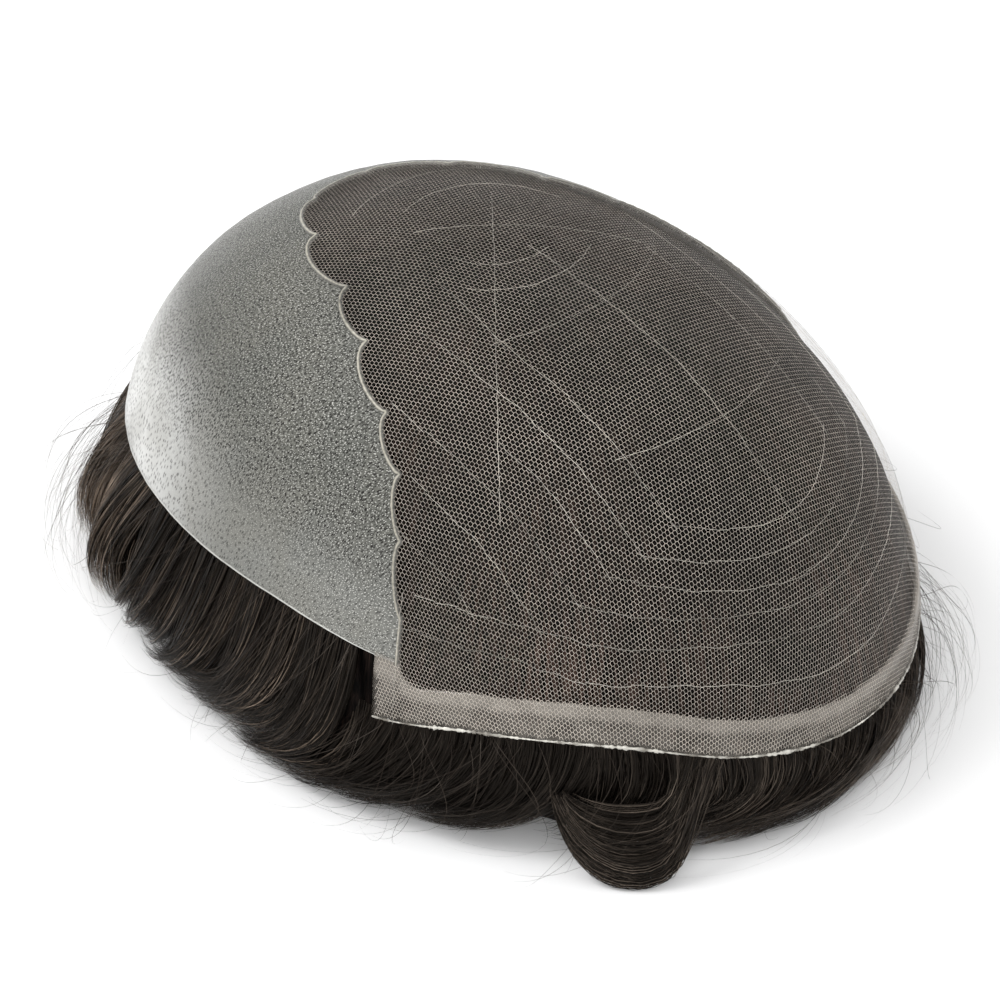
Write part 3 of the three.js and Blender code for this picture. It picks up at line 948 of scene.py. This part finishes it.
def hair_ribbons(name, paths, width, finish, rng):
    """Hairs as thin strips, each turned a little its own way so that it catches its own light."""
    count, stations = paths.shape[:2]
    corners, faces = template(
        lambda bm: bmesh.ops.create_grid(bm, x_segments=1, y_segments=stations - 1, size=0.5)
    )
    station = np.rint((corners[:, 1] + 0.5) * (stations - 1)).astype(int)
    edge = np.sign(corners[:, 0])
    along = unit(np.gradient(paths, axis=1))
    out = unit(paths - (AXIS + [0, 0, LIFT]))
    side = unit(np.cross(along, out))
    face = unit(np.cross(side, along))
    roll = rng.normal(0, 0.6, (count, 1, 1))
    side = side * np.cos(roll) + face * np.sin(roll)
    share = np.linspace(0, 1, stations)
    taper = (1 - 0.82 * share ** 2.5)[None] * width
    thickness = rng.uniform(0.7, 1.25, (count, 1))
    half = (taper * thickness / 2)[..., None]
    shape = paths[:, station] + side[:, station] * half[:, station] * edge[None, :, None]
    shape[..., 2] = np.maximum(shape[..., 2], 0.15)
    roots = paths[:, 0] - AXIS
    azimuth = np.degrees(np.arctan2(roots[:, 1], roots[:, 0]))[:, None]
    # Each hair's tone: random, shifted by the painted highlights round the rim
    tone = rng.uniform(0, 1, (count, 1)) + 0.35 * read_painted_highlight(azimuth)
    return joined(name, shape, faces, finish, tone=tone, run=share[station][None])


# Finishes

def put(tree, kind, **settings):
    node = tree.nodes.new(kind)
    for key, value in settings.items():
        setattr(node, key, value)
    return node


def feed(tree, socket, value):
    if isinstance(value, bpy.types.NodeSocket):
        tree.links.new(value, socket)
    else:
        socket.default_value = value


def maths(tree, operation, *values, clamp=False):
    node = put(tree, "ShaderNodeMath", operation=operation, use_clamp=clamp)
    for socket, value in zip(node.inputs, values):
        feed(tree, socket, value)
    return node.outputs[0]


def times(tree, first, second, clamp=False):
    return maths(tree, "MULTIPLY", first, second, clamp=clamp)


def plus(tree, first, second, clamp=False):
    return maths(tree, "ADD", first, second, clamp=clamp)


def rescale(tree, value, low, high, to_low=0.0, to_high=1.0):
    node = put(tree, "ShaderNodeMapRange", interpolation_type="SMOOTHSTEP")
    for socket, entry in zip(node.inputs, (value, low, high, to_low, to_high)):
        feed(tree, socket, entry)
    return node.outputs[0]


def blend_colours(tree, share, first, second):
    node = put(tree, "ShaderNodeMix", data_type="RGBA")
    feed(tree, node.inputs[0], share)
    feed(tree, node.inputs[6], first)
    feed(tree, node.inputs[7], second)
    return node.outputs[2]


def scaled_colour(tree, colour, gain):
    node = put(tree, "ShaderNodeVectorMath", operation="SCALE")
    feed(tree, node.inputs[0], colour)
    feed(tree, node.inputs["Scale"], gain)
    return node.outputs[0]


def stretched(tree, vector, turn, scale):
    node = put(tree, "ShaderNodeMapping", vector_type="TEXTURE")
    feed(tree, node.inputs["Vector"], vector)
    node.inputs["Rotation"].default_value = (0, 0, math.radians(turn))
    node.inputs["Scale"].default_value = (scale[0], scale[1], 1)
    return node.outputs[0]


def noise(tree, vector, scale, detail=2.0, roughness=0.5):
    node = put(tree, "ShaderNodeTexNoise")
    feed(tree, node.inputs["Vector"], vector)
    feed(tree, node.inputs["Scale"], scale)
    node.inputs["Detail"].default_value = detail
    node.inputs["Roughness"].default_value = roughness
    return node.outputs["Fac"]


def specks(tree, vector, randomness=0.9):
    node = put(tree, "ShaderNodeTexVoronoi", voronoi_dimensions="2D", feature="F1")
    feed(tree, node.inputs["Vector"], vector)
    node.inputs["Scale"].default_value = 1.0
    node.inputs["Randomness"].default_value = randomness
    return node.outputs["Distance"]


def object_place(tree):
    return put(tree, "ShaderNodeTexCoord").outputs["Object"]


def uv_place(tree):
    return put(tree, "ShaderNodeUVMap", uv_map="UVMap").outputs[0]


def split(tree, vector):
    """The X, Y and Z of a vector."""
    node = put(tree, "ShaderNodeSeparateXYZ")
    feed(tree, node.inputs[0], vector)
    return node.outputs


def uneven_group():
    """Shared by the threads and coats: a colour made uneven by two sizes of mottling, and its height."""
    tree = bpy.data.node_groups.new("uneven colour", "ShaderNodeTree")
    for label, kind, way in (
        ("Colour", "Color", "INPUT"), ("Amount", "Float", "INPUT"), ("Scale", "Float", "INPUT"),
        ("Colour", "Color", "OUTPUT"), ("Height", "Float", "OUTPUT"),
    ):
        tree.interface.new_socket(label, in_out=way, socket_type="NodeSocket" + kind)
    given = put(tree, "NodeGroupInput").outputs
    result = put(tree, "NodeGroupOutput").inputs
    place = object_place(tree)
    broad = noise(tree, place, 45)
    fine = noise(tree, place, given["Scale"])
    both = plus(tree, times(tree, broad, 0.5), times(tree, fine, 0.5))
    centred = maths(tree, "SUBTRACT", both, 0.5)
    gain = plus(tree, 1.0, times(tree, centred, given["Amount"]))
    feed(tree, result["Colour"], scaled_colour(tree, given["Colour"], gain))
    feed(tree, result["Height"], fine)
    return tree


UNEVEN = uneven_group()


def blank(name, constants):
    """A material with only its shader, whose sockets hold the constants, and its tree."""
    material = bpy.data.materials.new(name)
    material.use_nodes = True
    tree = material.node_tree
    shader = tree.nodes["Principled BSDF"]
    for label, value in constants.items():
        shader.inputs[label].default_value = value
    return material, tree, shader


def uneven(tree, colour, amount, scale):
    node = put(tree, "ShaderNodeGroup", node_tree=UNEVEN)
    feed(tree, node.inputs["Colour"], colour)
    node.inputs["Amount"].default_value = amount
    node.inputs["Scale"].default_value = scale
    return node.outputs["Colour"], node.outputs["Height"]


def bump(tree, shader, height, strength, distance):
    node = put(tree, "ShaderNodeBump")
    node.inputs["Strength"].default_value = strength
    node.inputs["Distance"].default_value = distance
    feed(tree, node.inputs["Height"], height)
    feed(tree, shader.inputs["Normal"], node.outputs[0])


def attribute(tree, name):
    return put(tree, "ShaderNodeAttribute", attribute_name=name).outputs["Fac"]


def thread_finish(name, colour, amount, dull=0.82, bright=1.12):
    """Fine nylon or silk thread, a little uneven from one strand to the next."""
    material, tree, shader = blank(name, {"Roughness": 0.55, "Sheen Weight": 0.1})
    tint, height = uneven(tree, colour, amount, 1800)
    own = rescale(tree, attribute(tree, "tone"), 0, 1, dull, bright)
    feed(tree, shader.inputs["Base Color"], scaled_colour(tree, tint, own))
    edge = attribute(tree, "across")
    round_thread = maths(tree, "SUBTRACT", 1.0, times(tree, edge, edge))
    bump(tree, shader, plus(tree, round_thread, times(tree, height, 0.3)), 0.6, 0.00006)
    return material


def skin_finish():
    """Frosted clear skin with short dark hairs knotted through it."""
    constants = {"Specular IOR Level": 0.2, "Sheen Weight": 0.35, "Sheen Roughness": 0.12}
    material, tree, shader = blank("frosted_skin", constants)
    uv = uv_place(tree)
    place = object_place(tree)
    backwards = split(tree, place)["Y"]
    fine_dash = rescale(tree, specks(tree, stretched(tree, uv, 24, (0.62, 1.2))), 0.2, 0.5, 1, 0)
    broad_dash = rescale(tree, specks(tree, stretched(tree, uv, 20, (0.95, 2.2)), 1.0), 0.12, 0.36, 1, 0)
    from_edge = attribute(tree, "from_edge")
    low_down = rescale(tree, from_edge, 12, 34, 1, 0)
    grain = noise(tree, place, 1500, 3, 0.7)
    cloud = noise(tree, place, 55, 3, 0.6)
    # Paler towards the back: thinner hair behind the clear skin there, and along the rim a painted sheen
    # where the skin curves away
    rim = rescale(tree, from_edge, 14, 48, 1, 0)
    behind = rescale(tree, backwards, 0.012, 0.065, 0.12, 1)
    back = rescale(tree, backwards, 0.05, 0.12, 0, 0.5)
    thin_hair_and_painted_sheen = maths(tree, "MAXIMUM", times(tree, rim, behind), back)
    ground = blend_colours(tree, thin_hair_and_painted_sheen, (0.102, 0.104, 0.092, 1), (0.62, 0.62, 0.605, 1))
    ground = blend_colours(tree, rescale(tree, cloud, 0.35, 0.7, 0, 0.35), ground, (0.16, 0.153, 0.128, 1))
    patchy = rescale(tree, noise(tree, uv, 0.8, 3, 0.7), 0.4, 0.56, 0.35, 1)
    dash = times(tree, fine_dash, maths(tree, "SUBTRACT", 1.0, low_down))
    dash = plus(tree, dash, times(tree, broad_dash, low_down), clamp=True)
    dash = times(tree, dash, patchy)
    strength = times(tree, dash, rescale(tree, low_down, 0, 1, 1.0, 0.7))
    coloured = blend_colours(tree, strength, ground, (0.005, 0.004, 0.003, 1))
    sparkle = rescale(tree, specks(tree, stretched(tree, uv, -20, (0.5, 0.85)), 1.0), 0.08, 0.32, 1, 0)
    sparkle = times(tree, sparkle, rescale(tree, noise(tree, uv, 1.3, 2, 0.6), 0.42, 0.52))
    glint = times(tree, sparkle, rescale(tree, split(tree, uv)["Y"], 4, 60, 1.0, 0.3))
    coloured = blend_colours(tree, glint, coloured, (0.55, 0.545, 0.51, 1))
    cut_edge = rescale(tree, from_edge, 0.3, 0.9, 0.8, 0)
    coloured = blend_colours(tree, cut_edge, coloured, (0.7, 0.7, 0.66, 1))
    feed(tree, shader.inputs["Base Color"], coloured)
    feed(tree, shader.inputs["Roughness"], rescale(tree, grain, 0.3, 0.7, 0.35, 0.6))
    bump(tree, shader, plus(tree, times(tree, grain, 0.6), times(tree, dash, -0.5)), 0.6, 0.00025)
    return material


def border_finish():
    """The raised edge where skin is bonded over net: cloudy beige with the net showing as grain."""
    material, tree, shader = blank("bonded_border", {"Roughness": 0.35, "Coat Weight": 0.25})
    across = split(tree, uv_place(tree))["Y"]
    crest = times(tree, rescale(tree, across, 0.35, 0.65), rescale(tree, across, 0.85, 1.15, 1, 0))
    ground = blend_colours(tree, crest, (0.12, 0.115, 0.1, 1), (0.36, 0.34, 0.28, 1))
    tint, height = uneven(tree, ground, 2.6, 1400)
    feed(tree, shader.inputs["Base Color"], tint)
    bump(tree, shader, height, 0.6, 0.0002)
    return material


def coat_finish():
    """Milky clear coat, thinner low down where the net shows through, and more opaque towards the far side
    as a painted sheen.
    """
    material, tree, shader = blank("milky_coat", {"Roughness": 0.28, "Coat Weight": 0.3})
    tint, height = uneven(tree, (0.38, 0.345, 0.3, 1), 1.2, 500)
    feed(tree, shader.inputs["Base Color"], tint)
    place = object_place(tree)
    cloudy = rescale(tree, split(tree, uv_place(tree))["Y"], 5.4, 7.4, 0.1, 0.34)
    # More opaque towards the far side: a painted sheen, added to the milky top
    cloud_and_painted_sheen = plus(tree, cloudy, rescale(tree, split(tree, place)["X"], 0.012, 0.06, 0, 0.5))
    patch = rescale(tree, noise(tree, place, 180, 3, 0.6), 0.3, 0.7, -0.06, 0.08)
    feed(tree, shader.inputs["Alpha"], plus(tree, cloud_and_painted_sheen, patch, clamp=True))
    bump(tree, shader, height, 0.5, 0.0002)
    return material


def bead_finish():
    """Dried clear glue, whitish and glossy."""
    material, tree, shader = blank("glossy_bead", {"Roughness": 0.14, "Coat Weight": 0.6})
    tint, height = uneven(tree, (0.62, 0.6, 0.54, 1), 2.2, 700)
    clear = rescale(tree, noise(tree, object_place(tree), 90, 3, 0.7), 0.44, 0.58)
    feed(tree, shader.inputs["Base Color"], blend_colours(tree, clear, tint, (0.16, 0.145, 0.12, 1)))
    bump(tree, shader, height, 0.8, 0.0004)
    return material


def hair_finish(name, dark, light, gloss):
    """Dark brown hair, paler in some strands, partly as painted highlights, and towards the tips."""
    constants = {"Specular IOR Level": gloss, "Specular Tint": (0.9, 0.78, 0.66, 1)}
    material, tree, shader = blank(name, constants)
    tone = attribute(tree, "tone")
    place = object_place(tree)
    patch = noise(tree, place, 70, 2, 0.6)
    # Paler strands: random tone per hair, raised by the painted highlights that the tone carries
    strand_tone_and_painted_highlight = times(tree, rescale(tree, tone, 0.68, 1.15), rescale(tree, patch, 0.3, 0.7, 0.35, 1.5))
    tip = rescale(tree, attribute(tree, "run"), 0.03, 0.6, 0.4, 1.0)
    strand_tone_and_painted_highlight = times(tree, strand_tone_and_painted_highlight, tip, clamp=True)
    feed(tree, shader.inputs["Base Color"], blend_colours(tree, strand_tone_and_painted_highlight, dark, light))
    feed(tree, shader.inputs["Roughness"], rescale(tree, tone, 0, 1, 0.3, 0.42))
    bump(tree, shader, noise(tree, place, 2600, 2, 0.6), 0.35, 0.0001)
    return material


def bed_finish():
    """The hair seen through the net: near black, with reddish-brown streaks down the dome."""
    material, tree, shader = blank("hair_under_net", {"Roughness": 0.5, "Specular IOR Level": 0.04})
    uv = uv_place(tree)
    place = object_place(tree)
    body = split(tree, place)
    streaks = noise(tree, stretched(tree, uv, 4, (0.9, 14)), 1.0, 4, 0.65)
    strands = noise(tree, stretched(tree, uv, 2, (0.22, 9)), 1.0, 2, 0.6)
    cloud = noise(tree, place, 30, 3, 0.6)
    red = times(tree, rescale(tree, streaks, 0.42, 0.68), rescale(tree, cloud, 0.35, 0.65))
    low = rescale(tree, body["Z"], 0.045, 0.062, 1, 0)
    front = rescale(tree, body["Y"], -0.075, -0.045, 1, 0)
    red = times(tree, red, rescale(tree, times(tree, low, front), 0, 1, 0.45, 1.0))
    tint = blend_colours(tree, red, (0.0012, 0.001, 0.001, 1), (0.06, 0.036, 0.028, 1))
    strand_light = rescale(tree, strands, 0.5, 0.72, 0, 0.4)
    tint = blend_colours(tree, strand_light, tint, (0.014, 0.01, 0.008, 1))
    feed(tree, shader.inputs["Base Color"], tint)
    bump(tree, shader, strands, 0.5, 0.0004)
    return material


def floor_finish():
    material, tree, shader = blank("pale_table", {"Roughness": 0.7})
    mottled = noise(tree, object_place(tree), 6, 2, 0.5)
    tint = blend_colours(tree, mottled, (0.93, 0.93, 0.935, 1), (0.95, 0.95, 0.95, 1))
    feed(tree, shader.inputs["Base Color"], tint)
    return material


# Pieces

net_finish = thread_finish("net_thread", (0.54, 0.48, 0.42, 1), 1.4, 0.7, 1.15)
band_net_finish = thread_finish("coated_net_thread", (0.62, 0.56, 0.49, 1), 0.6)
guide_finish = thread_finish("guide_thread", (0.56, 0.53, 0.47, 1), 1.6, 0.3, 1.3)
hair_shade = (0.003, 0.0022, 0.0018, 1)
hair_dark = hair_finish("dark_brown_hair", hair_shade, (0.14, 0.112, 0.09, 1), 0.18)
# Near hair: the same dark hair with a much paler strand colour, a painted highlight on the near locks
hair_with_painted_highlights = hair_finish("brown_hair_painted_highlights", hair_shade, (0.3, 0.23, 0.175, 1), 0.18)
loose_finish = hair_finish("loose_hair", (0.015, 0.011, 0.009, 1), (0.1, 0.08, 0.065, 1), 0.3)

rng = np.random.default_rng(11)
near_net, far_net, band_net = make_nets(net_finish, band_net_finish)
skin = make_skin(skin_finish())
border = make_border(border_finish())
band = make_band(coat_finish())
bead = make_band_bead(bead_finish())
guides = place_stitches("guide_threads", [way_over(line) for line in guide_lines()], guide_finish, rng)
seams = place_stitches("end_seam_stitches", end_seams(), guide_finish, rng, proud=0.4)
bed = make_bed(bed_finish())


def locks_of_hair(locks, hairs, turn):
    return [lock_paths(lock, hairs, HAIR_POINTS, turn, rng) for lock in locks]


near_locks = [lock for lock in SKIN_LOCKS if 90 < lock["root"] < 200]
far_locks = [lock for lock in SKIN_LOCKS if not 90 < lock["root"] < 200]
near_paths = np.concatenate(locks_of_hair(near_locks, NEAR_LOCK_HAIRS, 2.1))
near_hair = hair_ribbons("skin_hair_near", near_paths, HAIR_WIDTH, hair_with_painted_highlights, rng)
far_paths = np.concatenate(locks_of_hair(far_locks, FAR_LOCK_HAIRS, 2.0))
far_hair = hair_ribbons("skin_hair_far", far_paths, HAIR_WIDTH, hair_dark, rng)
front_paths = locks_of_hair(LACE_LOCKS, FRONT_LOCK_HAIRS, 1.4)
front_paths.append(curl_paths(CURL_HAIRS, HAIR_POINTS, rng))
front_hair = hair_ribbons("lace_hair", np.concatenate(front_paths), HAIR_WIDTH, hair_dark, rng)
loose = loose_paths(LOOSE_HAIR_POINTS, rng)
loose_hair = hair_ribbons("loose_hair", loose, LOOSE_HAIR_WIDTH, loose_finish, rng)

for piece in (near_net, far_net, band_net, skin, border, band, bead, guides, seams, bed,
              near_hair, far_hair, front_hair, loose_hair):
    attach(piece, "root")

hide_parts("lace_top")
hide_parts("skin_back")
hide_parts("scallop_edging")
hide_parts("hairline_band")
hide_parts("hair_of_lace")
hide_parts("hair_of_skin")

# Table, light and camera

bm = bmesh.new()
bmesh.ops.create_grid(bm, x_segments=1, y_segments=1, size=4)
floor_mesh = bpy.data.meshes.new("table")
bm.to_mesh(floor_mesh)
bm.free()
floor = new_object("table", floor_mesh, floor_finish())


def soft_light(name, place, size, power, aim=(0, 0, 0.04)):
    light = bpy.data.lights.new(name, "AREA")
    light.shape = "DISK"
    light.size = size
    light.energy = power
    holder = bpy.data.objects.new(name, light)
    bpy.context.scene.collection.objects.link(holder)
    holder.location = place
    holder.rotation_euler = (Vector(aim) - Vector(place)).to_track_quat("-Z", "Y").to_euler()
    return holder


soft_light("key_light", (-0.7, 0.7, 1.2), 0.7, 10)
soft_light("side_light", (-1.1, -0.6, 0.8), 0.7, 4)
soft_light("front_light", (0.9, -0.9, 1.0), 0.9, 2)

world = bpy.data.worlds.new("studio")
bpy.context.scene.world = world
world.use_nodes = True
world.node_tree.nodes["Background"].inputs["Color"].default_value = (1, 1, 1, 1)
world.node_tree.nodes["Background"].inputs["Strength"].default_value = 0.95
bpy.context.scene.view_settings.view_transform = "Standard"

# Viewing angle and framing of the photograph
CAMERA_AZIMUTH = -45.07
CAMERA_ELEVATION = 38.85
CAMERA_DISTANCE = 0.8
CAMERA_LENS = 121.4
CAMERA_SHIFT = (-0.0091, 0.0368)

azimuth = math.radians(CAMERA_AZIMUTH)
elevation = math.radians(CAMERA_ELEVATION)
towards = Vector((
    math.sin(azimuth) * math.cos(elevation),
    -math.cos(azimuth) * math.cos(elevation),
    math.sin(elevation),
))
lens = bpy.data.cameras.new("camera")
lens.lens = CAMERA_LENS
lens.sensor_width = 36
lens.shift_x, lens.shift_y = CAMERA_SHIFT
camera = bpy.data.objects.new("camera", lens)
bpy.context.scene.collection.objects.link(camera)
camera.location = Vector(CENTRE * MM) + towards * CAMERA_DISTANCE
camera.rotation_euler = (-towards).to_track_quat("-Z", "Y").to_euler()
bpy.context.scene.camera = camera
